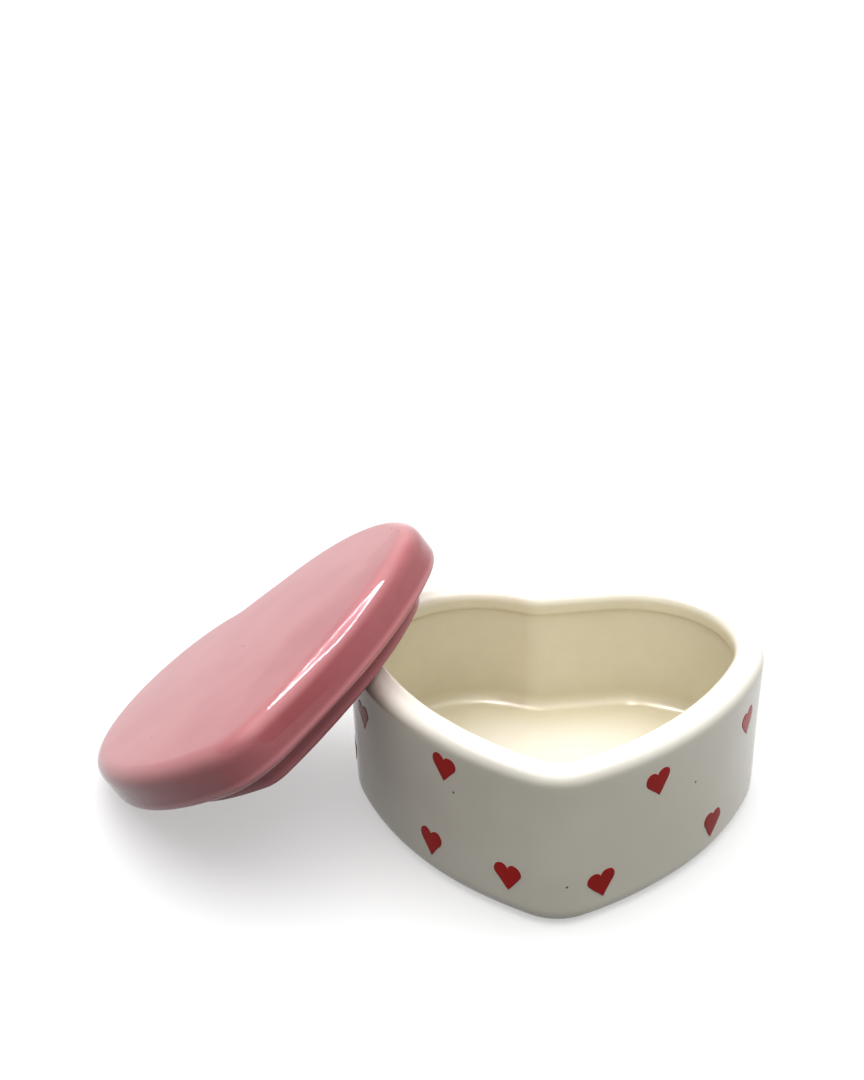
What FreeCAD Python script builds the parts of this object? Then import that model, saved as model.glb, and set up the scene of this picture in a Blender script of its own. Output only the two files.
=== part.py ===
import FreeCAD, Part
import math
import os

import Sketcher
from FreeCAD import Placement, Rotation, Vector

# A heart-shaped glazed ceramic trinket box, standing open, with its lid leaning on the left rim.
# Millimetres. X runs across the two lobes, Y from the heart's tip (-Y) to its lobes (+Y), Z up.
# The origin is on the underside of the foot, at the middle of the heart's width and depth.

SIZES = {
    # the heart outline at the rim, a closed chain of tangent arcs and one straight run
    "box_width": 120.0,          # across the two lobes
    "box_depth": 111.0,          # from the tip to the crowns of the lobes
    "lobe_radius": 38.0,
    "flank_radius": 109.0,       # the long gentle arc from a lobe to the tip
    "tip_radius": 17.5,
    "notch_radius": 4.0,
    "brow_slope": 10.0,          # degrees: the straight run that falls from the right lobe to the notch
    # the box
    "box_height": 48.0,
    "foot_inset": 1.7,           # how far the wall leans in from the rim to the foot, on each side
    "foot_round": 4.7,
    "rim_round": 4.2,            # outer edge of the rim
    "rim_inner_round": 2.4,
    "collar_inset": 9.1,         # from the outline to the mouth
    "collar_height": 6.0,        # the thicker ring under the rim that the lid's lip drops into
    "collar_tip_radius": 6.0,
    "chamber_inset": 8.2,        # the inside wall below the collar
    "floor_thickness": 10.0,
    "floor_round": 4.2,
    # the painted hearts
    "paint_depth": 0.4,
    "paint_reach": 3.0,          # how far the cutter for one runs each way from the wall's surface
    "paint_width": 8.7,
    "paint_lobe_radius": 2.25,
    "paint_top": 3.9,            # crown of the small lobes above the heart's middle
    "paint_tip": 4.3,            # point of the small heart below its middle
    # the lid
    "lid_inset": 0.65,           # the lid is this much smaller than the rim, on each side
    "lid_thickness": 14.6,       # at the middle of the crown
    "crown_radius": 1250.0,
    "crown_reach": 75.0,         # how far out from the middle the crown is shaved
    "lid_top_round": 5.3,
    "lid_under_round": 2.0,
    "lip_inset": 11.85,          # from the box's outline to the outside of the locating lip
    "lip_height": 7.3,
    "lip_round": 1.2,
    "hollow_inset": 16.6,        # from the box's outline to the inside of the lip
    "hollow_tip_radius": 3.0,
    "hollow_rise": 7.6,          # how far the hollow runs up into the lid
    "hollow_round": 3.0,
    # how the lid leans: its near edge stands on the table and its underside rests on the rim
    "lid_lean": -35.7,           # degrees about Y, right side up
    "lid_pitch": -3.7,           # degrees about X
    "lid_turn": 4.3,             # degrees about the lid's own axis
    "lid_shift_x": -81.0,
    "lid_shift_y": 4.2,
    "lid_shift_z": 35.7,
}

# Where each small heart is painted: distance round the wall from the tip (right side positive),
# height of its middle, and its tilt in degrees.
PAINTED_HEARTS = [
    (-14.9, 12.4, 2.0), (13.7, 11.1, 8.0),
    (-36.1, 38.3, -3.0), (31.6, 36.3, 9.0),
    (-42.7, 11.3, 0.0), (57.9, 10.5, -7.0),
    (-79.2, 33.2, 4.0), (76.9, 33.7, 5.0),
    (-97.0, 12.3, -4.0), (104.0, 11.8, 3.0),
    (-113.0, 37.2, 5.0), (120.0, 37.0, -5.0),
    (-132.0, 12.0, 6.0), (140.0, 12.6, 4.0),
    (-152.0, 36.4, -6.0), (162.0, 36.0, 2.0),
]

doc = FreeCAD.newDocument("heart_box")
sheet = doc.addObject("Spreadsheet::Sheet", "Sizes")
for row, (alias, value) in enumerate(SIZES.items(), start=1):
    sheet.set("A%d" % row, alias)
    sheet.set("B%d" % row, str(value))
    sheet.setAlias("B%d" % row, alias)
doc.recompute()


def size(expression):
    """The number that an expression on the sheet's names stands for."""
    return float(sheet.evalExpression(expression))


def origin_part(body, role):
    """One of a body's own planes or axes, such as XY_Plane or Z_Axis."""
    return next(feature for feature in body.Origin.OriginFeatures if feature.Role == role)


def attach(sketch, body, role, height="0"):
    sketch.AttachmentSupport = [(origin_part(body, role), "")]
    sketch.MapMode = "FlatFace"
    sketch.setExpression("AttachmentOffset.Base.z", height)


# How a sketch constraint names the points of an edge, and the sketch's own origin and axis.
START, END, CENTRE = 1, 2, 3
ORIGIN, Y_AXIS = -1, -2


def bound(sketch, label, constraint, expression):
    """Add a sized constraint whose value follows an expression on the sheet."""
    sketch.renameConstraint(sketch.addConstraint(constraint), label)
    sketch.setExpression("Constraints." + label, expression)


# ---------------------------------------------------------------- the heart outline

def heart_sketch(body, name, inset, tip_radius, height="0"):
    """The heart outline, moved in by an inset, as tangent arcs and a brow at a height above XY.

    The brow is the straight run from the right lobe down to the notch, which puts the notch a
    little to the left. inset, tip_radius and height are expressions on the sheet.
    """
    sketch = body.newObject("Sketcher::SketchObject", name)
    attach(sketch, body, "XY_Plane", height)

    step_in = size(inset)
    tip = size(tip_radius)
    lobe = size("lobe_radius") - step_in
    flank = size("flank_radius") - step_in
    notch = size("notch_radius") + step_in
    lobe_centre = Vector(size("box_width") / 2 - size("lobe_radius"),
                         size("box_depth") / 2 - size("lobe_radius"), 0)
    tip_centre = Vector(0, step_in + tip - size("box_depth") / 2, 0)
    left_centre = Vector(-lobe_centre.x, lobe_centre.y, 0)

    # The notch arc lies outside the brow and the left lobe and touches both.
    slope = math.radians(size("brow_slope"))
    brow_run = Vector(math.cos(slope), math.sin(slope), 0)
    brow_out = Vector(-math.sin(slope), math.cos(slope), 0)
    clear = lobe_centre + brow_out * (lobe + notch) - left_centre
    back = clear.dot(brow_run)
    slide = math.sqrt(back ** 2 - clear.Length ** 2 + (lobe + notch) ** 2) - back
    notch_centre = left_centre + clear + brow_run * slide

    # The flank arc holds the tip arc and the lobe arc inside it, so its centre lies at known
    # distances from both of theirs.
    to_tip, to_lobe = flank - tip, flank - lobe
    run = lobe_centre - tip_centre
    along = (to_tip ** 2 - to_lobe ** 2 + run.Length ** 2) / (2 * run.Length)
    across = math.sqrt(to_tip ** 2 - along ** 2)
    ahead = run / run.Length
    flank_centre = tip_centre + ahead * along + Vector(-ahead.y, ahead.x, 0) * across

    def angle(start, end):
        return math.atan2(end.y - start.y, end.x - start.x)

    def arc(centre, radius, start, end):
        circle = Part.Circle(centre, Vector(0, 0, 1), radius)
        return sketch.addGeometry(Part.ArcOfCircle(circle, start, end), False)

    def mirrored(point):
        return Vector(-point.x, point.y, 0)

    tip_angle = angle(flank_centre, tip_centre)
    lobe_angle = angle(flank_centre, lobe_centre)
    tip_arc = arc(tip_centre, tip, -math.pi - tip_angle, tip_angle)
    right_flank = arc(flank_centre, flank, tip_angle, lobe_angle)
    right_lobe = arc(lobe_centre, lobe, lobe_angle, math.pi / 2 + slope)
    brow = sketch.addGeometry(Part.LineSegment(notch_centre - brow_out * notch,
                                               lobe_centre + brow_out * lobe), False)
    notch_arc = arc(notch_centre, notch, angle(notch_centre, left_centre), slope - math.pi / 2)
    left_lobe = arc(left_centre, lobe, angle(left_centre, notch_centre), math.pi - lobe_angle)
    left_flank = arc(mirrored(flank_centre), flank, math.pi - lobe_angle, math.pi - tip_angle)

    add = sketch.addConstraint
    add(Sketcher.Constraint("Tangent", tip_arc, END, right_flank, START))
    add(Sketcher.Constraint("Tangent", right_flank, END, right_lobe, START))
    add(Sketcher.Constraint("Tangent", right_lobe, END, brow, END))
    add(Sketcher.Constraint("Tangent", brow, START, notch_arc, END))
    add(Sketcher.Constraint("Tangent", notch_arc, START, left_lobe, START))
    add(Sketcher.Constraint("Tangent", left_lobe, END, left_flank, START))
    add(Sketcher.Constraint("Tangent", left_flank, END, tip_arc, START))
    add(Sketcher.Constraint("PointOnObject", tip_arc, CENTRE, Y_AXIS))
    add(Sketcher.Constraint("Symmetric", left_lobe, CENTRE, right_lobe, CENTRE, Y_AXIS))
    add(Sketcher.Constraint("Equal", left_lobe, right_lobe))
    add(Sketcher.Constraint("Equal", left_flank, right_flank))
    bound(sketch, "LobeAcross",
          Sketcher.Constraint("DistanceX", ORIGIN, START, right_lobe, CENTRE, lobe_centre.x),
          "Sizes.box_width / 2 - Sizes.lobe_radius")
    bound(sketch, "LobeUp",
          Sketcher.Constraint("DistanceY", ORIGIN, START, right_lobe, CENTRE, lobe_centre.y),
          "Sizes.box_depth / 2 - Sizes.lobe_radius")
    bound(sketch, "TipDown",
          Sketcher.Constraint("DistanceY", tip_arc, CENTRE, ORIGIN, START, -tip_centre.y),
          "Sizes.box_depth / 2 - (%s) - (%s)" % (inset, tip_radius))
    bound(sketch, "TipRadius", Sketcher.Constraint("Radius", tip_arc, tip), tip_radius)
    bound(sketch, "LobeRadius", Sketcher.Constraint("Radius", right_lobe, lobe),
          "Sizes.lobe_radius - (%s)" % inset)
    bound(sketch, "FlankRadius", Sketcher.Constraint("Radius", right_flank, flank),
          "Sizes.flank_radius - (%s)" % inset)
    bound(sketch, "NotchRadius", Sketcher.Constraint("Radius", notch_arc, notch),
          "Sizes.notch_radius + (%s)" % inset)
    bound(sketch, "BrowSlope", Sketcher.Constraint("Angle", brow, slope), "Sizes.brow_slope * 1 deg")
    return sketch


# ---------------------------------------------------------------- features

def new_body(name):
    return doc.addObject("PartDesign::Body", name)


def pad(body, name, sketch, length, downwards=False):
    feature = body.newObject("PartDesign::Pad", name)
    feature.Profile = sketch
    feature.setExpression("Length", length)
    feature.Reversed = downwards
    doc.recompute()
    return feature


def pocket(body, name, sketch, length, upwards=False):
    before = body.Shape.Volume
    feature = body.newObject("PartDesign::Pocket", name)
    feature.Profile = sketch
    feature.setExpression("Length", length)
    feature.Reversed = upwards
    doc.recompute()
    if body.Shape.Volume > before - 1.0:
        raise RuntimeError(name + " cut nothing")
    return feature


def fillet(body, name, radius, chosen):
    """Round the edges of the body's last feature that chosen() picks."""
    base = body.Tip
    names = ["Edge%d" % number for number, edge in enumerate(base.Shape.Edges, start=1) if chosen(edge)]
    feature = body.newObject("PartDesign::Fillet", name)
    feature.Base = (base, names)
    feature.setExpression("Radius", radius)
    doc.recompute()
    return feature


def level(height):
    """Picks the edges that lie flat at a height."""
    def chosen(edge):
        box = edge.BoundBox
        return abs(box.ZMin - height) < 0.01 and abs(box.ZMax - height) < 0.01
    return chosen


# ---------------------------------------------------------------- the box

def make_blank(name, inset):
    """A solid heart block, wider at the rim than at the foot, moved in by an inset."""
    body = new_body(name)
    foot = heart_sketch(body, name + "_foot", "Sizes.foot_inset + " + inset,
                        "Sizes.tip_radius - Sizes.foot_inset - " + inset)
    block = pad(body, name + "_block", foot, "Sizes.box_height")
    block.setExpression("TaperAngle", "atan(Sizes.foot_inset / Sizes.box_height)")
    doc.recompute()
    return body


def make_box():
    body = make_blank("box", "0")
    heart_sketch(body, "rim_outline", "0", "Sizes.tip_radius", "Sizes.box_height")
    fillet(body, "foot_rounding", "Sizes.foot_round", level(0.0))
    fillet(body, "rim_rounding", "Sizes.rim_round", level(size("box_height")))

    mouth = heart_sketch(body, "mouth_outline", "Sizes.collar_inset", "Sizes.collar_tip_radius",
                         "Sizes.box_height")
    pocket(body, "mouth", mouth, "Sizes.box_height - Sizes.floor_thickness")
    chamber = heart_sketch(body, "chamber_outline", "Sizes.chamber_inset",
                           "Sizes.collar_tip_radius", "Sizes.box_height - Sizes.collar_height")
    pocket(body, "chamber", chamber,
           "Sizes.box_height - Sizes.collar_height - Sizes.floor_thickness")
    fillet(body, "floor_rounding", "Sizes.floor_round", level(size("floor_thickness")))

    fillet(body, "mouth_rounding", "Sizes.rim_inner_round", is_mouth_edge)
    return body


def is_mouth_edge(edge):
    """Picks the flat edges of the mouth, not those where the outer rounding meets the rim."""
    middle_of_rim = size("(rim_round + collar_inset) / 2")
    reach = size("box_width") / 2 - middle_of_rim
    along = size("box_depth") / 2 - middle_of_rim
    box = edge.BoundBox
    inside = max(-box.XMin, box.XMax) < reach and max(-box.YMin, box.YMax) < along
    return inside and level(size("box_height"))(edge)


# ---------------------------------------------------------------- the painted hearts

def small_heart(middle, outwards, tilt):
    """A little heart-shaped prism that runs through the wall's skin at a place on it."""
    lobe = size("paint_lobe_radius")
    across = size("paint_width") / 2 - lobe
    crown = size("paint_top") - lobe
    point = Vector(0, -size("paint_tip"), 0)
    notch = Vector(0, crown + math.sqrt(lobe ** 2 - across ** 2), 0)

    # the straight side leaves the lobe where it is square to the lobe's radius
    to_lobe = Vector(across, crown, 0) - point
    side = math.atan2(to_lobe.y, to_lobe.x) - math.asin(lobe / to_lobe.Length)
    leave = side - math.pi / 2
    touch = Vector(across + lobe * math.cos(leave), crown + lobe * math.sin(leave), 0)
    shoulder = Vector(across + lobe * math.cos(math.pi / 3), crown + lobe * math.sin(math.pi / 3), 0)

    def mirrored(place):
        return Vector(-place.x, place.y, 0)

    edges = [
        Part.LineSegment(point, touch),
        Part.Arc(touch, shoulder, notch),
        Part.Arc(notch, mirrored(shoulder), mirrored(touch)),
        Part.LineSegment(mirrored(touch), point),
    ]
    outline = Part.Wire([edge.toShape() for edge in edges])
    depth = size("paint_reach")
    prism = Part.Face(outline).extrude(Vector(0, 0, 2 * depth))
    prism.translate(Vector(0, 0, -depth))
    prism.rotate(Vector(), Vector(0, 0, 1), tilt)
    prism.rotate(Vector(), Vector(1, 0, 0), 90)              # now it faces -Y, upright
    prism.rotate(Vector(), Vector(0, 0, 1), math.degrees(math.atan2(outwards.y, outwards.x)) + 90)
    prism.translate(middle)
    return prism


def wall_place(outline, distance, height):
    """A place on the wall, and the way it faces, from a distance round it and a height."""
    steps = 1440
    points = outline.discretize(Number=steps + 1)[:-1]
    tip = min(range(steps), key=lambda number: points[number].y)
    here = (tip + round(distance / outline.Length * steps)) % steps
    ahead = points[(here + 1) % steps] - points[here - 1]
    outwards = Vector(ahead.y, -ahead.x, 0).normalize()
    lean_in = size("foot_inset") * (1 - height / size("box_height"))
    place = points[here] - outwards * lean_in
    return Vector(place.x, place.y, height), outwards


def make_painted_hearts(box):
    """Thin inlays of red glaze, as deep as the paint, flush with the wall."""
    rim_outline = doc.getObject("rim_outline").Shape.Wires[0]
    prisms = doc.addObject("Part::Feature", "heart_prisms")
    prisms.Shape = Part.makeCompound([
        small_heart(*wall_place(rim_outline, distance, height), tilt)
        for distance, height, tilt in PAINTED_HEARTS])
    under_paint = make_blank("under_paint", "Sizes.paint_depth")
    skin = doc.addObject("Part::Cut", "heart_skins")
    skin.Base = prisms
    skin.Tool = under_paint
    paint = doc.addObject("Part::Common", "painted_hearts")
    paint.Base = skin
    paint.Tool = box
    return paint


# ---------------------------------------------------------------- the lid

def make_lid():
    body = new_body("lid_body")
    plate = heart_sketch(body, "lid_outline", "Sizes.lid_inset", "Sizes.tip_radius - Sizes.lid_inset")
    pad(body, "lid_plate", plate, "Sizes.lid_thickness")
    crown(body)
    half_way = size("lid_thickness") / 2
    fillet(body, "lid_top_rounding", "Sizes.lid_top_round", lambda edge: edge.BoundBox.ZMin > half_way)
    fillet(body, "lid_under_rounding", "Sizes.lid_under_round", level(0.0))

    lip = heart_sketch(body, "lip_outline", "Sizes.lip_inset", "Sizes.tip_radius - Sizes.lip_inset")
    pad(body, "lip", lip, "Sizes.lip_height", downwards=True)
    hollow = heart_sketch(body, "hollow_outline", "Sizes.hollow_inset", "Sizes.hollow_tip_radius",
                          "-Sizes.lip_height")
    pocket(body, "hollow", hollow, "Sizes.lip_height + Sizes.hollow_rise", upwards=True)
    fillet(body, "lip_rounding", "Sizes.lip_round", level(-size("lip_height")))
    fillet(body, "hollow_rounding", "Sizes.hollow_round", level(size("hollow_rise")))
    return body


def crown(body):
    """Shave the lid's top to a very shallow dome."""
    sketch = body.newObject("Sketcher::SketchObject", "crown_profile")
    attach(sketch, body, "XZ_Plane")
    radius, thick, reach = size("crown_radius"), size("lid_thickness"), size("crown_reach")
    drop = radius - math.sqrt(radius ** 2 - reach ** 2)
    top = Vector(0, thick, 0)
    edge = Vector(reach, thick - drop, 0)
    corner = Vector(reach, thick + drop, 0)
    above = Vector(0, thick + drop, 0)
    circle = Part.Circle(Vector(0, thick - radius, 0), Vector(0, 0, 1), radius)
    dome = sketch.addGeometry(Part.ArcOfCircle(circle, math.acos(reach / radius), math.pi / 2), False)
    side = sketch.addGeometry(Part.LineSegment(edge, corner), False)
    lid_over = sketch.addGeometry(Part.LineSegment(corner, above), False)
    axle = sketch.addGeometry(Part.LineSegment(above, top), False)

    add = sketch.addConstraint
    add(Sketcher.Constraint("Coincident", dome, START, side, START))
    add(Sketcher.Constraint("Coincident", side, END, lid_over, START))
    add(Sketcher.Constraint("Coincident", lid_over, END, axle, START))
    add(Sketcher.Constraint("Coincident", axle, END, dome, END))
    add(Sketcher.Constraint("PointOnObject", dome, CENTRE, Y_AXIS))
    add(Sketcher.Constraint("PointOnObject", dome, END, Y_AXIS))
    add(Sketcher.Constraint("Vertical", side))
    add(Sketcher.Constraint("Horizontal", lid_over))
    add(Sketcher.Constraint("DistanceY", side, START, side, END, 2 * drop))
    bound(sketch, "Radius", Sketcher.Constraint("Radius", dome, radius), "Sizes.crown_radius")
    bound(sketch, "Thickness", Sketcher.Constraint("DistanceY", ORIGIN, START, dome, END, thick),
          "Sizes.lid_thickness")
    bound(sketch, "Reach", Sketcher.Constraint("DistanceX", ORIGIN, START, side, START, reach),
          "Sizes.crown_reach")

    before = body.Shape.Volume
    groove = body.newObject("PartDesign::Groove", "crown")
    groove.Profile = sketch
    groove.ReferenceAxis = (origin_part(body, "Z_Axis"), [""])
    groove.Angle = 360
    doc.recompute()
    if body.Shape.Volume > before - 1.0:
        raise RuntimeError("the crown cut nothing")


def lean(lid):
    turn = Rotation(Vector(1, 0, 0), size("lid_pitch")) \
        * Rotation(Vector(0, 1, 0), size("lid_lean")) \
        * Rotation(Vector(0, 0, 1), size("lid_turn"))
    lid.Placement = Placement(Vector(), turn)
    for axis in "xyz":
        lid.setExpression("Placement.Base." + axis, "Sizes.lid_shift_" + axis)


# ---------------------------------------------------------------- the whole object

box = make_box()
painted_hearts = make_painted_hearts(box)
painted_hearts.Label = "painted_hearts"
box_body = doc.addObject("Part::Cut", "box_body")
box_body.Base = box
box_body.Tool = painted_hearts
lid = make_lid()
lid.Label = "lid"
lean(lid)
doc.recompute()

for thing in doc.Objects:
    if "Invalid" in thing.State or "Error" in thing.State:
        raise RuntimeError(thing.Name + " failed")

os.makedirs("parts", exist_ok=True)
for part in (box_body, painted_hearts, lid):
    shape = part.Shape
    if shape.isNull() or not shape.isValid():
        raise RuntimeError(part.Label + " has no valid shape")
    shape.exportStep(os.path.join("parts", part.Label + ".step"))
    print("%-16s %2d solids  %9.0f mm3" % (part.Label, len(shape.Solids), shape.Volume))
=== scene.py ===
import math

import bpy
import numpy as np
from mathutils import Matrix, Vector, noise


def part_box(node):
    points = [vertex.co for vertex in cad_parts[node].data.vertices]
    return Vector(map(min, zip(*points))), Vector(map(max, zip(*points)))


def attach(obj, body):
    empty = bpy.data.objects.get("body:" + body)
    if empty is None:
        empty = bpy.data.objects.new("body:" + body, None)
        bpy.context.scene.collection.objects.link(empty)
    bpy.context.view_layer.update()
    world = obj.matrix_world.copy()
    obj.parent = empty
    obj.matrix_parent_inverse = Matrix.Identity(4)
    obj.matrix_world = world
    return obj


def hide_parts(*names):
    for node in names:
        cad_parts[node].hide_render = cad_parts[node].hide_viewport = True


# A heart-shaped glazed ceramic box with painted hearts; its loose lid leans on the left rim.
# Metres, in the part's frame: X across the lobes, -Y towards the heart's tip, Z up.

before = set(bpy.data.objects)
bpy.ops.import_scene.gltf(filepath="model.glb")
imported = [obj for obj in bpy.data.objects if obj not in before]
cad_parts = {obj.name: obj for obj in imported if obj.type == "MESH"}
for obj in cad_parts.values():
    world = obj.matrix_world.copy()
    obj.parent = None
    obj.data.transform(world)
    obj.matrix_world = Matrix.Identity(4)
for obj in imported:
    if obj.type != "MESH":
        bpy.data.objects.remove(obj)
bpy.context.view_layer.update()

MM = 0.001
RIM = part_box("box_body")[1].z         # the box's height

# the heart outline at the rim, a closed chain of tangent arcs and one straight run, the brow
WIDTH, DEPTH = 120 * MM, 111 * MM
LOBE, FLANK, TIP, NOTCH = 38 * MM, 109 * MM, 17.5 * MM, 4 * MM
BROW_SLOPE = math.radians(10)         # the brow falls from the right lobe to the notch
TIP_STEPS, FLANK_STEPS, LOBE_STEPS, BROW_STEPS, NOTCH_STEPS = 20, 44, 72, 12, 16
CAP_MIDDLE = 6 * MM                   # where flat faces run to, on the heart's middle line
CAP_SHARES = (0.93, 0.82, 0.68, 0.52, 0.36, 0.2, 0.08)

# the box's section
FOOT_INSET, FOOT_ROUND = 1.7 * MM, 4.7 * MM
RIM_ROUND, RIM_INNER_ROUND = 4.2 * MM, 3.2 * MM
COLLAR_INSET, COLLAR_HEIGHT, COLLAR_TIP = 9.1 * MM, 6.0 * MM, 6.0 * MM
CHAMBER_INSET = 8.2 * MM
FLOOR, FLOOR_ROUND = 10.0 * MM, 4.2 * MM

# the lid's section, as insets from the same outline
LID_INSET, LID_THICK = 0.65 * MM, 14.6 * MM
LID_CROWN_RADIUS = 1250 * MM
LID_TOP_ROUND, LID_UNDER_ROUND = 5.3 * MM, 2.0 * MM
LIP_INSET, LIP_HEIGHT, LIP_ROUND = 11.85 * MM, 7.3 * MM, 1.2 * MM
HOLLOW_INSET, HOLLOW_TIP, HOLLOW_RISE, HOLLOW_ROUND = 16.6 * MM, 3.0 * MM, 7.6 * MM, 3.0 * MM

# a small painted heart
PAINT_WIDTH, PAINT_LOBE = 8.7 * MM, 2.25 * MM
PAINT_TOP, PAINT_TIP = 3.9 * MM, 4.3 * MM
PAINT_FILM = 0.05 * MM

# hand-made unevenness: the length and the depth of slow waves and of small ripples, and the share
# of the depth that the whole surface stands in, so that it stays within the ideal shape
WAVE_LENGTH, RIPPLE_LENGTH = 34 * MM, 11 * MM
BOX_SEED, BOX_WAVES, BOX_RIPPLES = 1, 0.24 * MM, 0.05 * MM
LID_SEED, LID_WAVES, LID_RIPPLES = 2, 0.12 * MM, 0.04 * MM
STAND_IN = 0.5

# light
STRIP_FRAME_MIDDLE = Vector((-130, 171, 500)) * MM
STRIP_FRAME_X, STRIP_FRAME_Y, STRIP_WIDTH = 311 * MM, 245 * MM, 4 * MM
STRIP_RADIANCE = 450.0
DIM_ROOM = 0.04
ROOM_GLOWS = [                        # direction, where the glow fades in and is full, strength
    ((0.0, 0.0, 1.0), 0.55, 1.0, 3.3),
    ((0.90, 0.42, 0.10), 0.50, 1.0, 1.3),
    ((-0.43, 0.90, 0.08), 0.50, 0.92, 1.3),
    ((-0.05, -0.97, 0.20), 0.60, 1.0, 1.35),
]

# the stage
FLOOR_REACH, FLOOR_DROP = 6.0, 0.05 * MM
BACKDROP_RADIUS, BACKDROP_HEIGHT, BACKDROP_SIDES = 5.9, 2.0, 64

# the camera
CAMERA_PLACE = Vector((-8.4, -470.8, 313.1)) * MM
CAMERA_TURN = (Matrix.Rotation(math.radians(3.11), 4, "Z")
               @ Matrix.Rotation(math.radians(90 - 25.56), 4, "X")
               @ Matrix.Rotation(math.radians(-1.07), 4, "Z"))
CAMERA_LENS, CAMERA_SENSOR = 64.2, 36.0

PINHOLE = (0.05, 0.04, 0.035)         # its dark colour

# how the lid leans
LID_PLACE = Vector((-81.0, 4.2, 35.7)) * MM
LID_TURN = (Matrix.Rotation(math.radians(-3.7), 4, "X")
            @ Matrix.Rotation(math.radians(-35.7), 4, "Y")
            @ Matrix.Rotation(math.radians(4.3), 4, "Z"))

# Where each small heart is painted: distance round the wall from the tip in millimetres (right
# side positive), height of its middle in millimetres, tilt in degrees.
PAINTED_HEARTS = [
    (-14.9, 12.4, 2.0), (13.7, 11.1, 8.0),
    (-36.1, 38.3, -3.0), (31.6, 36.3, 9.0),
    (-42.7, 11.3, 0.0), (57.9, 10.5, -7.0),
    (-79.2, 33.2, 4.0), (76.9, 33.7, 5.0),
    (-97.0, 12.3, -4.0), (104.0, 11.8, 3.0),
    (-113.0, 37.2, 5.0), (120.0, 37.0, -5.0),
    (-132.0, 12.0, 6.0), (140.0, 12.6, 4.0),
    (-152.0, 36.4, -6.0), (162.0, 36.0, 2.0),
]


# ------------------------------------------------------------------ the heart outline

def arc_points(centre, radius, start, end, steps):
    """Points along an arc, without its last one, which the next arc begins with."""
    angles = np.linspace(start, end, steps, endpoint=False)
    return np.column_stack([centre[0] + radius * np.cos(angles), centre[1] + radius * np.sin(angles)])


def heart_loop(inset, tip_radius=None):
    """The heart outline moved in by an inset, anticlockwise from the middle of its tip."""
    tip = TIP - inset if tip_radius is None else tip_radius
    lobe, flank, notch = LOBE - inset, FLANK - inset, NOTCH + inset
    lobe_centre = np.array([WIDTH / 2 - LOBE, DEPTH / 2 - LOBE])
    left_centre = lobe_centre * [-1, 1]
    tip_centre = np.array([0, inset + tip - DEPTH / 2])
    run = lobe_centre - tip_centre
    length = np.linalg.norm(run)
    ahead = run / length
    along = ((flank - tip) ** 2 - (flank - lobe) ** 2 + length ** 2) / (2 * length)
    across = math.sqrt((flank - tip) ** 2 - along ** 2)
    flank_centre = tip_centre + ahead * along + np.array([-ahead[1], ahead[0]]) * across

    # the notch arc lies outside the brow and the left lobe and touches both
    brow_run = np.array([math.cos(BROW_SLOPE), math.sin(BROW_SLOPE)])
    brow_out = np.array([-math.sin(BROW_SLOPE), math.cos(BROW_SLOPE)])
    clear = lobe_centre + brow_out * (lobe + notch) - left_centre
    back = clear @ brow_run
    slide = math.sqrt(back ** 2 - clear @ clear + (lobe + notch) ** 2) - back
    notch_centre = left_centre + clear + brow_run * slide

    def angle(start, end):
        return math.atan2(end[1] - start[1], end[0] - start[0])

    tip_angle, lobe_angle = angle(flank_centre, tip_centre), angle(flank_centre, lobe_centre)
    into_notch, brow_angle = angle(notch_centre, left_centre), math.pi / 2 + BROW_SLOPE
    side = np.vstack([
        arc_points(tip_centre, tip, -math.pi / 2, tip_angle, TIP_STEPS),
        arc_points(flank_centre, flank, tip_angle, lobe_angle, FLANK_STEPS)])
    brow_start, brow_end = lobe_centre + brow_out * lobe, notch_centre - brow_out * notch
    brow = brow_start + np.linspace(0, 1, BROW_STEPS, endpoint=False)[:, None] * (brow_end - brow_start)
    return np.vstack([
        side,
        arc_points(lobe_centre, lobe, lobe_angle, brow_angle, LOBE_STEPS),
        brow,
        arc_points(notch_centre, notch, brow_angle - math.pi, into_notch, NOTCH_STEPS),
        arc_points(left_centre, lobe, into_notch + math.pi, math.pi - lobe_angle, LOBE_STEPS),
        [left_centre + lobe * np.array([math.cos(math.pi - lobe_angle), math.sin(math.pi - lobe_angle)])],
        side[:0:-1] * [-1, 1],
    ])


# ------------------------------------------------------------------ sections of the walls

def rounding(inset, height, radius, start, end, steps=7):
    """Section points of a rounded corner about a centre at an inset and a height.

    The angles, in degrees, turn from 0 facing out of the heart to 90 facing up.
    """
    angles = np.radians(np.linspace(start, end, steps))
    return [(inset - radius * math.cos(a), height + radius * math.sin(a)) for a in angles]


def straight(start, end, steps):
    """Section points between two others, without the two themselves."""
    shares = np.linspace(0, 1, steps + 2)[1:-1]
    return [(start[0] + (end[0] - start[0]) * s, start[1] + (end[1] - start[1]) * s) for s in shares]


def smooth_step(low, high, value):
    share = min(1.0, max(0.0, (value - low) / (high - low)))
    return share * share * (3 - 2 * share)


def as_ring(loop, height):
    return np.column_stack([loop, np.full(len(loop), height)])


def cap_rings(ring, shares, height=None):
    """Rings that shrink from an edge ring towards the heart's middle and grow round on the way."""
    middle = np.array([0.0, CAP_MIDDLE])
    spokes = ring[:, :2] - middle
    reach = np.linalg.norm(spokes, axis=1)[:, None]
    round_spokes = spokes / reach * reach.min()
    rings = []
    for share in shares:
        loop = middle + share * (spokes * share + round_spokes * (1 - share))
        rings.append(as_ring(loop, ring[0, 2]) if height is None
                     else np.column_stack([loop, height(loop)]))
    return rings


# ------------------------------------------------------------------ hand-made unevenness

def wobble(point, seed, coarse, fine):
    """How far a point of the surface stands in from its ideal place: slow waves and small ones."""
    shift = Vector((seed * 3.1, seed * 1.7, seed * 2.3))
    slow = noise.noise(Vector(point) / WAVE_LENGTH + shift)
    small = noise.noise(Vector(point) / RIPPLE_LENGTH + shift * 2)
    return coarse * (slow - STAND_IN) + fine * (small - STAND_IN)


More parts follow.
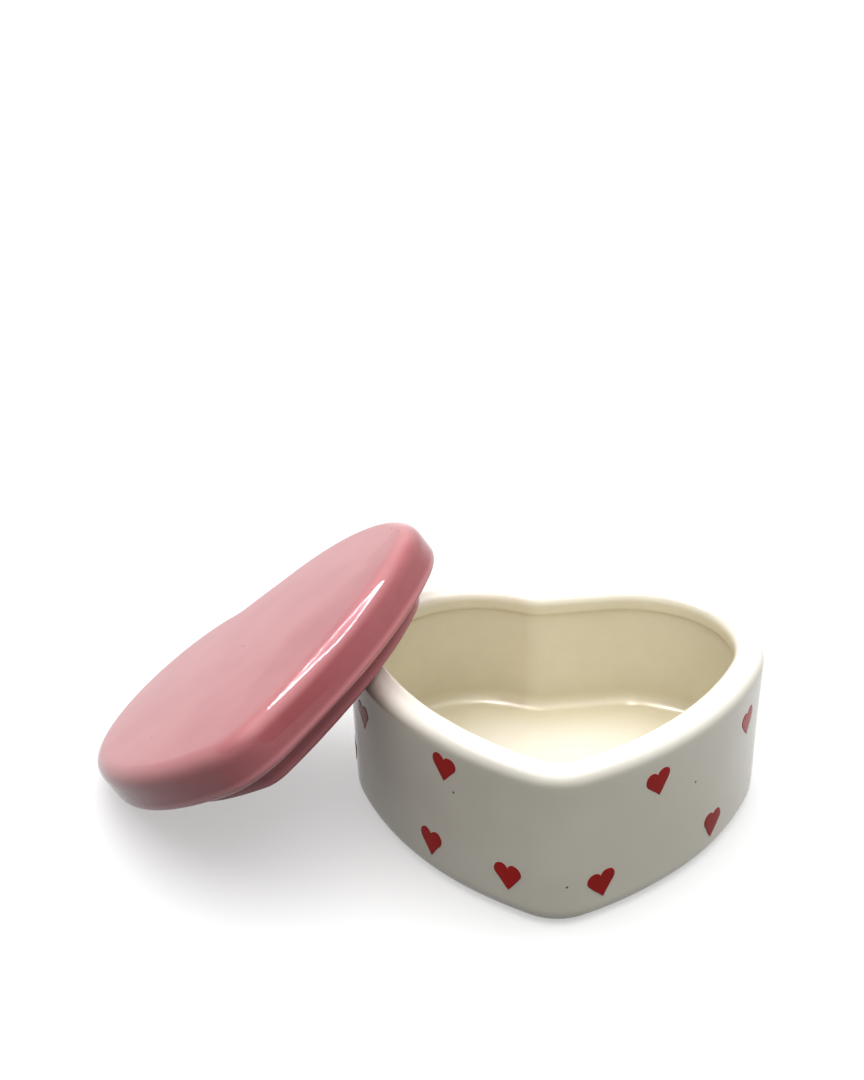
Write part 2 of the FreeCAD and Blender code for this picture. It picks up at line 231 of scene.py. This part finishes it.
def put_in_scene(name, mesh):
    made = bpy.data.objects.new(name, mesh)
    bpy.context.scene.collection.objects.link(made)
    return made


def shell(name, rings, masks, seed, coarse, fine):
    """A closed smooth skin through rings of points; a ladder of faces closes each end."""
    count = len(rings[0])
    points = [tuple(p) for ring in rings for p in ring]
    values = {mask: [value for value in row for _ in range(count)] for mask, row in masks.items()}
    faces = []
    for number in range(len(rings) - 1):
        a, b = number * count, (number + 1) * count
        faces += [(a + k, a + (k + 1) % count, b + (k + 1) % count, b + k) for k in range(count)]
    last, half = (len(rings) - 1) * count, count // 2
    first_end = [(0, 1, count - 1)] + [(k, k + 1, count - k - 1, count - k) for k in range(1, half - 1)]
    first_end.append((half - 1, half, half + 1))
    faces += [face[::-1] for face in first_end]
    faces += [tuple(last + corner for corner in face) for face in first_end]

    mesh = bpy.data.meshes.new(name)
    mesh.from_pydata(points, [], faces)
    mesh.update()
    normals = [vertex.normal.copy() for vertex in mesh.vertices]
    for vertex, normal in zip(mesh.vertices, normals):
        vertex.co += normal * wobble(vertex.co, seed, coarse, fine)
    for mask, row in values.items():
        attribute = mesh.attributes.new(mask, "FLOAT", "POINT")
        attribute.data.foreach_set("value", np.array(row, np.float32))
    for polygon in mesh.polygons:
        polygon.use_smooth = True
    mesh.update()
    piece = put_in_scene(name, mesh)
    subdivide(piece)
    return piece


def subdivide(piece):
    finer = piece.modifiers.new("finer", "SUBSURF")
    finer.levels = finer.render_levels = 1


# ------------------------------------------------------------------ the box

def lean_in(height):
    """The wall leans in from the rim to the foot."""
    return FOOT_INSET * (1 - height / RIM)


def box_section():
    """Rows of (inset, height, inside share, edge, pool) from the foot's edge to the floor's edge.

    The inside share is 0 on the outer wall and 1 inside the mouth. It also paints the inside lighter, as
    painted light. Edge paints the glaze paler: thinner glaze over a rounding, and painted light on the
    rim's top and the floor. Pool is where the glaze gathers.
    """
    foot = rounding(FOOT_INSET + FOOT_ROUND, FOOT_ROUND, FOOT_ROUND, -90, 0, 8)
    shoulder_height = RIM - RIM_ROUND
    shoulder = rounding(lean_in(shoulder_height) + RIM_ROUND, shoulder_height, RIM_ROUND, 0, 90, 9)
    wall = straight(foot[-1], shoulder[0], 20)
    mouth = rounding(COLLAR_INSET - RIM_INNER_ROUND, RIM - RIM_INNER_ROUND, RIM_INNER_ROUND, 90, 180, 7)
    rim = straight(shoulder[-1], mouth[0], 1)
    ledge = RIM - COLLAR_HEIGHT
    step = COLLAR_INSET - CHAMBER_INSET
    collar = straight(mouth[-1], (COLLAR_INSET, ledge + step), 1) + [
        (COLLAR_INSET, ledge + step),
        (COLLAR_INSET - 0.15 * step, ledge + 0.4 * step),
        (CHAMBER_INSET + 0.15 * step, ledge - 0.4 * step),
        (CHAMBER_INSET, ledge - step)]
    corner = rounding(CHAMBER_INSET + FLOOR_ROUND, FLOOR + FLOOR_ROUND, FLOOR_ROUND, 0, -90, 8)
    chamber = straight(collar[-1], corner[0], 14)

    rows = [(i, z, 0.0, 0.0, 0.0) for i, z in foot + wall]
    rows += [(i, z, 0.0, smooth_step(shoulder_height, RIM, z), 0.0) for i, z in shoulder]
    rows += [(i, z, 0.5, 0.8, 0.0) for i, z in rim]
    rows += [(i, z, 1.0, 0.8 * smooth_step(RIM - RIM_INNER_ROUND, RIM, z), 0.0) for i, z in mouth]
    rows += [(i, z, 1.0, 0.0, smooth_step(ledge + 2 * step, ledge - step, z)) for i, z in collar]
    rows += [(i, z, 1.0, 0.0, 0.0) for i, z in chamber]
    rows += [(i, z, 1.0, 0.0, 1.0) for i, z in corner]
    return rows


def make_box():
    rings, insides_and_painted_light, edges_and_painted_light, pools_and_painted_shade = [], [], [], []
    for inset, height, inside_and_painted_light, edge, pool_and_painted_shade in box_section():
        outer_tip, mouth_tip = TIP - inset, COLLAR_TIP + COLLAR_INSET - inset
        rings.append(as_ring(heart_loop(inset, outer_tip + (mouth_tip - outer_tip) * inside_and_painted_light), height))
        insides_and_painted_light.append(inside_and_painted_light)
        edges_and_painted_light.append(edge)
        pools_and_painted_shade.append(pool_and_painted_shade)
    underside = cap_rings(rings[0], CAP_SHARES[::-1])
    floor = cap_rings(rings[-1], CAP_SHARES)
    pad_under = [0.0] * len(underside)
    rings = underside + rings + floor
    # The inside mask paints the inside lighter than the outer wall: painted light, a lit copy of the same
    # cream glaze.
    masks = {"inside_and_painted_light": pad_under + insides_and_painted_light + [1.0] * len(floor),
             # On the floor the edge mask paints the glaze paler: painted light on the lit floor. Over the
             # rim it is thinner glaze and painted light.
             "edge": pad_under + edges_and_painted_light + [0.8 - 0.8 * share ** 4 for share in CAP_SHARES],
             "pool_and_painted_shade": pad_under + pools_and_painted_shade + [0.6 * share ** 4 for share in CAP_SHARES]}
    return shell("box_glazed", rings, masks, BOX_SEED, BOX_WAVES, BOX_RIPPLES)


# ------------------------------------------------------------------ the painted hearts

def wall_frame(distance):
    """Place and outward direction on the rim's outline, at a distance round it from the tip."""
    here = np.interp(distance % OUTLINE_LENGTH, OUTLINE_RUN, OUTLINE_X)
    there = np.interp(distance % OUTLINE_LENGTH, OUTLINE_RUN, OUTLINE_Y)
    step = 0.5 * MM
    ahead = np.array([np.interp((distance + step) % OUTLINE_LENGTH, OUTLINE_RUN, row)
                      - np.interp((distance - step) % OUTLINE_LENGTH, OUTLINE_RUN, row)
                      for row in (OUTLINE_X, OUTLINE_Y)])
    ahead /= np.linalg.norm(ahead)
    return np.array([here, there]), np.array([ahead[1], -ahead[0]])


def on_wall(distance, height, proud):
    """A point that stands a little proud of the uneven wall."""
    place, outwards = wall_frame(distance)
    place = place - outwards * lean_in(height)
    point = Vector((place[0], place[1], height))
    out = Vector((outwards[0], outwards[1], -FOOT_INSET / RIM)).normalized()
    return point + out * (wobble(point, BOX_SEED, BOX_WAVES, BOX_RIPPLES) + proud)


def small_heart_outline(seed):
    """A brushed heart, in metres about its middle, anticlockwise from its point."""
    across = PAINT_WIDTH / 2 - PAINT_LOBE
    crown = PAINT_TOP - PAINT_LOBE
    point = np.array([0.0, -PAINT_TIP])
    to_lobe = np.array([across, crown]) - point
    side = math.atan2(to_lobe[1], to_lobe[0]) - math.asin(PAINT_LOBE / np.linalg.norm(to_lobe))
    leave = side - math.pi / 2
    meet = math.pi - math.acos(across / PAINT_LOBE)
    lobe = arc_points((across, crown), PAINT_LOBE, leave, meet, 26)
    flank = np.array([point + (lobe[0] - point) * share for share in np.linspace(0, 1, 14)[:-1]])
    right = np.vstack([flank, lobe])
    notch = np.array([[0.0, crown + PAINT_LOBE * math.sin(meet)]])
    outline = np.vstack([right, notch, right[:0:-1] * [-1, 1]])
    uneven = [noise.noise(Vector((x / (2.6 * MM), y / (2.6 * MM), seed * 5.3))) for x, y in outline]
    return outline * (1 + 0.07 * np.array(uneven))[:, None]


def make_painted_hearts():
    """Each heart is a thin dome of glaze that follows the wall and sinks into it at its edge."""
    points, faces, thin = [], [], []
    for seed, (distance, height, tilt) in enumerate(PAINTED_HEARTS):
        outline = small_heart_outline(seed)
        turn = math.radians(tilt)
        spin = np.array([[math.cos(turn), -math.sin(turn)], [math.sin(turn), math.cos(turn)]])
        start, count = len(points), len(outline)
        layers = [(1.0, -PAINT_FILM), (0.985, 0.6 * PAINT_FILM), (0.94, PAINT_FILM)]
        layers += [(share, PAINT_FILM) for share in (0.82, 0.66, 0.5, 0.34, 0.18)]
        for share, proud in layers:
            for x, y in (outline * share) @ spin.T:
                points.append(on_wall(distance * MM + x, height * MM + y, proud))
                thin.append(smooth_step(0.75, 1.0, share))
        points.append(on_wall(distance * MM, height * MM, PAINT_FILM))
        thin.append(0.0)
        for layer in range(len(layers) - 1):
            a, b = start + layer * count, start + (layer + 1) * count
            faces += [(a + k, a + (k + 1) % count, b + (k + 1) % count, b + k) for k in range(count)]
        inner = start + (len(layers) - 1) * count
        faces += [(inner + k, inner + (k + 1) % count, len(points) - 1) for k in range(count)]
    mesh = bpy.data.meshes.new("painted_hearts_glazed")
    mesh.from_pydata(points, [], faces)
    attribute = mesh.attributes.new("edge", "FLOAT", "POINT")
    attribute.data.foreach_set("value", np.array(thin, np.float32))
    for polygon in mesh.polygons:
        polygon.use_smooth = True
    mesh.update()
    return put_in_scene("painted_hearts_glazed", mesh)


# ------------------------------------------------------------------ the lid

def crown_height(loop):
    reach = np.linalg.norm(loop, axis=1)
    return LID_THICK - LID_CROWN_RADIUS + np.sqrt(LID_CROWN_RADIUS ** 2 - reach ** 2)


def make_lid():
    """The lid in its own frame, underside at height 0, then leant over into place."""
    fillet = 1.2 * MM
    ceiling = rounding(HOLLOW_INSET + HOLLOW_ROUND, HOLLOW_RISE - HOLLOW_ROUND, HOLLOW_ROUND, 90, 0, 6)
    lip_inner = rounding(HOLLOW_INSET - LIP_ROUND, LIP_ROUND - LIP_HEIGHT, LIP_ROUND, 180, 270, 5)
    lip_outer = rounding(LIP_INSET + LIP_ROUND, LIP_ROUND - LIP_HEIGHT, LIP_ROUND, -90, 0, 5)
    root = rounding(LIP_INSET - fillet, -fillet, fillet, 180, 90, 5)
    under = rounding(LID_INSET + LID_UNDER_ROUND, LID_UNDER_ROUND, LID_UNDER_ROUND, -90, 0, 6)
    side_top = (LID_INSET, LID_THICK - LID_TOP_ROUND - 1.4 * MM)
    # Pool shares darken the side band, the lip and its root: pooled glaze and painted shade.
    rows = [(i, z, 0.0, 0.6) for i, z in ceiling]
    rows += [(i, z, 0.0, 0.0) for i, z in straight(ceiling[-1], lip_inner[0], 4)]
    rows += [(i, z, 0.3, 0.5) for i, z in lip_inner + lip_outer]
    rows += [(i, z, 0.0, 1.0) for i, z in straight(lip_outer[-1], root[0], 2)]
    rows += [(i, z, 0.0, 1.0) for i, z in root]
    rows += [(i, z, 0.0, 0.0) for i, z in straight(root[-1], under[0], 4)]
    rows += [(i, z, 0.5, 0.3) for i, z in under]
    rows += [(i, z, 0.0, 0.8) for i, z in straight(under[-1], side_top, 3)]

    rings, edges_and_painted_light, pools_and_painted_shade = [], [], []
    for inset, height, edge, pool_and_painted_shade in rows:
        tip = max(TIP - inset, HOLLOW_TIP + HOLLOW_INSET - inset, 0.8 * MM)
        rings.append(as_ring(heart_loop(inset, tip), height))
        edges_and_painted_light.append(edge)
        pools_and_painted_shade.append(pool_and_painted_shade)
    # On the top's rounding the edge share paints the pink paler: thinner glaze, and a painted highlight.
    for angle in np.radians(np.linspace(0, 90, 10)):
        loop = heart_loop(LID_INSET + LID_TOP_ROUND * (1 - math.cos(angle)))
        height = crown_height(loop) - LID_TOP_ROUND * (1 - math.sin(angle))
        rings.append(np.column_stack([loop, height]))
        edges_and_painted_light.append(0.7 * math.sin(2 * angle) ** 2)
        # the pool share darkens the side band: pooled glaze and painted shade
        pools_and_painted_shade.append(0.8 * math.cos(angle) ** 2)
    roof = cap_rings(rings[0], CAP_SHARES[::-1])
    crown = cap_rings(rings[-1], CAP_SHARES, crown_height)
    rings = roof + rings + crown
    masks = {"edge": [0.0] * len(roof) + edges_and_painted_light + [0.0] * len(crown),
             "pool_and_painted_shade": [0.0] * len(roof) + pools_and_painted_shade + [0.0] * len(crown)}
    lid = shell("lid_glazed", rings, masks, LID_SEED, LID_WAVES, LID_RIPPLES)
    lid.data.transform(Matrix.Translation(LID_PLACE) @ LID_TURN)
    lid.data.update()
    return lid


# ------------------------------------------------------------------ materials

def add_node(tree, kind, settings=None, **values):
    """A node with its properties set and its inputs set to a value or linked to another's output."""
    made = tree.nodes.new(kind)
    for name, value in (settings or {}).items():
        setattr(made, name, value)
    for name, value in values.items():
        socket = made.inputs[int(name[1:])] if name[0] == "_" else made.inputs[name.replace("_", " ")]
        if isinstance(value, bpy.types.NodeSocket):
            tree.links.new(value, socket)
        else:
            socket.default_value = value
    return made


def cloud(tree, where, size, detail):
    """Noise whose blobs are about as wide as size, in metres."""
    return add_node(tree, "ShaderNodeTexNoise", Vector=where, Scale=1 / size, Detail=detail).outputs["Fac"]


def spread(tree, value, low, high, to_low, to_high):
    made = add_node(tree, "ShaderNodeMapRange", {"interpolation_type": "SMOOTHSTEP"}, Value=value,
                    From_Min=low, From_Max=high, To_Min=to_low, To_Max=to_high)
    return made.outputs["Result"]


def mixed(tree, share, first, second):
    """A colour between two: each may be a colour or another node's output."""
    made = add_node(tree, "ShaderNodeMix", {"data_type": "RGBA"})
    for number, value in ((0, share), (6, first), (7, second)):
        if isinstance(value, bpy.types.NodeSocket):
            tree.links.new(value, made.inputs[number])
        else:
            made.inputs[number].default_value = value if number == 0 else (*value, 1.0)
    return made.outputs[2]


def times(tree, first, second):
    return add_node(tree, "ShaderNodeMath", {"operation": "MULTIPLY"}, _0=first, _1=second).outputs[0]


def mask_of(tree, name):
    return add_node(tree, "ShaderNodeAttribute", {"attribute_name": name}).outputs["Fac"]


def glaze(name, body, cloudy, coats, pinholes=(), bare=None, shine=1.5):
    """A glossy fired glaze: cloudy colour, other colours where coats lie, and pinholes.

    Coats pairs a mask on the mesh with the colour there, such as pale glaze over an edge, painted
    light where the inside is lit and on the floor, and painted shade on the lid's side. Bare is
    the colour of the unglazed clay at the foot, and shine is the glaze's index of refraction.
    """
    gloss, wave = (0.005, 0.02), 0.02 * MM
    material = bpy.data.materials.new(name)
    material.use_nodes = True
    tree = material.node_tree
    shader = tree.nodes["Principled BSDF"]
    where = add_node(tree, "ShaderNodeTexCoord").outputs["Object"]

    mottle = cloud(tree, where, 5 * MM, 2.0)
    colour = mixed(tree, spread(tree, cloud(tree, where, 32 * MM, 2.0), 0.32, 0.68, 0.0, 1.0), body, cloudy)
    ragged = spread(tree, mottle, 0.3, 0.7, 0.92, 1.0)
    for mask, coat in coats:
        colour = mixed(tree, times(tree, mask_of(tree, mask), ragged), colour, coat)
    for place in pinholes:
        away = add_node(tree, "ShaderNodeVectorMath", {"operation": "DISTANCE"}, _0=where, _1=place)
        spot = spread(tree, away.outputs["Value"], 0.2 * MM, 0.5 * MM, 0.9, 0.0)
        colour = mixed(tree, spot, colour, PINHOLE)
    rough = spread(tree, mottle, 0.3, 0.7, *gloss)
    if bare is not None:
        height = add_node(tree, "ShaderNodeSeparateXYZ", Vector=where).outputs["Z"]
        ragged_foot = add_node(tree, "ShaderNodeMath", {"operation": "MULTIPLY_ADD"},
                               _0=mottle, _1=0.8 * MM, _2=height).outputs[0]
        unglazed = spread(tree, ragged_foot, 0.75 * MM, 0.95 * MM, 1.0, 0.0)
        colour = mixed(tree, unglazed, colour, bare)
        rough = spread(tree, unglazed, 0.0, 1.0, rough, 0.8)
    tree.links.new(colour, shader.inputs["Base Color"])
    tree.links.new(rough, shader.inputs["Roughness"])
    waves = add_node(tree, "ShaderNodeBump", Height=cloud(tree, where, 9 * MM, 1.0),
                     Strength=1.0, Distance=wave)
    tree.links.new(waves.outputs["Normal"], shader.inputs["Normal"])
    shader.inputs["IOR"].default_value = shine
    return material


def dress(piece, material):
    piece.data.materials.clear()
    piece.data.materials.append(material)


# ------------------------------------------------------------------ stage, lights and camera

def stage_white(name, base, glow):
    """A pale plain surface that also glows a little, and the shader to adjust it by."""
    material = bpy.data.materials.new(name)
    material.use_nodes = True
    shader = material.node_tree.nodes["Principled BSDF"]
    shader.inputs["Base Color"].default_value = (base, base, base, 1.0)
    shader.inputs["Emission Color"].default_value = (1.0, 1.0, 1.0, 1.0)
    shader.inputs["Emission Strength"].default_value = glow
    return material, shader


def make_floor():
    """A pale floor that the camera and the glaze see; it sends no diffuse light back up."""
    mesh = bpy.data.meshes.new("floor")
    corners = [(-1, -1), (1, -1), (1, 1), (-1, 1)]
    mesh.from_pydata([(FLOOR_REACH * x, FLOOR_REACH * y, 0) for x, y in corners], [], [(0, 1, 2, 3)])
    floor = put_in_scene("floor", mesh)
    floor.location.z = -FLOOR_DROP
    material, shader = stage_white("floor_white", 0.40, 0.5)
    shader.inputs["Roughness"].default_value = 0.6
    shader.inputs["Specular IOR Level"].default_value = 0.1
    mesh.materials.append(material)
    floor.visible_diffuse = False


def make_backdrop():
    """A pale wall all round the floor, seen by the camera and in the glaze but casting no light."""
    count = BACKDROP_SIDES
    turns = [2 * math.pi * k / count for k in range(count)]
    ring = [(BACKDROP_RADIUS * math.cos(turn), BACKDROP_RADIUS * math.sin(turn)) for turn in turns]
    mesh = bpy.data.meshes.new("backdrop")
    mesh.from_pydata([(x, y, z) for z in (0.0, BACKDROP_HEIGHT) for x, y in ring], [],
                     [(k, count + k, count + (k + 1) % count, (k + 1) % count) for k in range(count)])
    backdrop = put_in_scene("backdrop", mesh)
    backdrop.visible_diffuse = backdrop.visible_shadow = False
    mesh.materials.append(stage_white("backdrop_white", 0.1, 1.0)[0])


def make_world():
    """A dim room with a bright ceiling and soft glows from the right, the back and the front."""
    world = bpy.data.worlds.new("studio")
    bpy.context.scene.world = world
    world.use_nodes = True
    tree = world.node_tree
    facing = add_node(tree, "ShaderNodeTexCoord").outputs["Generated"]
    glow = DIM_ROOM
    for direction, low, high, strength in ROOM_GLOWS:
        towards = add_node(tree, "ShaderNodeVectorMath", {"operation": "DOT_PRODUCT"},
                           _0=facing, _1=direction)
        glow = add_node(tree, "ShaderNodeMath", {"operation": "ADD"}, _0=glow,
                        _1=spread(tree, towards.outputs["Value"], low, high, 0.0, strength)).outputs[0]
    background = tree.nodes["Background"]
    background.inputs["Color"].default_value = (1.0, 1.0, 1.0, 1.0)
    tree.links.new(glow, background.inputs["Strength"])


def make_lights():
    """A thin frame of light overhead, which only the glaze mirrors, as a bright loop."""
    reach_x, reach_y = STRIP_FRAME_X / 2, STRIP_FRAME_Y / 2
    for name, x, y, across, along in (
            ("strip_front", 0, -reach_y, STRIP_FRAME_X, STRIP_WIDTH),
            ("strip_back", 0, reach_y, STRIP_FRAME_X, STRIP_WIDTH),
            ("strip_left", -reach_x, 0, STRIP_WIDTH, STRIP_FRAME_Y),
            ("strip_right", reach_x, 0, STRIP_WIDTH, STRIP_FRAME_Y)):
        light = bpy.data.lights.new(name, "AREA")
        light.shape = "RECTANGLE"
        light.size, light.size_y = across, along
        light.energy = STRIP_RADIANCE * math.pi * across * along
        lamp = bpy.data.objects.new(name, light)
        lamp.location = STRIP_FRAME_MIDDLE + Vector((x, y, 0))
        lamp.visible_diffuse = False
        bpy.context.scene.collection.objects.link(lamp)


def make_camera():
    data = bpy.data.cameras.new("camera")
    data.lens = CAMERA_LENS
    data.sensor_width = CAMERA_SENSOR
    camera = bpy.data.objects.new("camera", data)
    camera.matrix_world = Matrix.Translation(CAMERA_PLACE) @ CAMERA_TURN
    bpy.context.scene.collection.objects.link(camera)
    bpy.context.scene.camera = camera


# ------------------------------------------------------------------ the scene

make_camera()
make_world()
make_lights()
make_floor()
make_backdrop()

outline = heart_loop(0.0)
closed = np.vstack([outline, outline[:1]])
OUTLINE_RUN = np.concatenate([[0.0], np.cumsum(np.linalg.norm(np.diff(closed, axis=0), axis=1))])
OUTLINE_LENGTH = OUTLINE_RUN[-1]
OUTLINE_X, OUTLINE_Y = closed[:, 0], closed[:, 1]

box = make_box()
hearts = make_painted_hearts()
lid = make_lid()

box_pinholes = [on_wall(d * MM, z * MM, 0.0) for d, z in
                ((47.2, 29.5), (2.9, 12.6), (-32.8, 31.9), (-97.0, 24.0), (122.0, 29.0))]
lid_pinholes = [LID_PLACE + LID_TURN @ (Vector(place) * MM) for place in
                ((52.4, 26.4, 13.2), (55.0, 19.2, 13.2), (-31.0, -12.0, 14.2))]
# The inside colour is painted light: the same cream glaze, lighter inside where it is lit.
cream = glaze("cream_glaze", (0.55, 0.53, 0.465), (0.525, 0.50, 0.43),
              # The edge colour is pale glaze where it thins over roundings, and painted light on the rim's
              # top and the box's floor.
              (("inside_and_painted_light", (0.70, 0.655, 0.52)), ("edge", (0.78, 0.755, 0.70)),
               ("pool_and_painted_shade", (0.69, 0.64, 0.50))),
              box_pinholes, bare=(0.60, 0.54, 0.45))
# The pink edge colour is thin glaze over the rounding, and a painted highlight there.
pink = glaze("pink_glaze", (0.46, 0.195, 0.205), (0.43, 0.17, 0.185),
             # The pink pool colour is glaze gathered on the side band and under the lip, and painted shade
             # there.
             (("edge", (0.60, 0.30, 0.31)), ("pool_and_painted_shade", (0.29, 0.09, 0.10))), lid_pinholes, shine=1.4)
red = glaze("red_glaze", (0.40, 0.012, 0.008), (0.30, 0.010, 0.007), (("edge", (0.34, 0.012, 0.010)),),
            shine=1.22)
dress(box, cream)
dress(lid, pink)
dress(hearts, red)

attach(box, "box")
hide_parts("box_body")
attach(hearts, "box")
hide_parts("painted_hearts")
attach(lid, "lid")
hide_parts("lid")

view = bpy.context.scene.view_settings
view.view_transform = "Standard"
view.gamma = 0.8
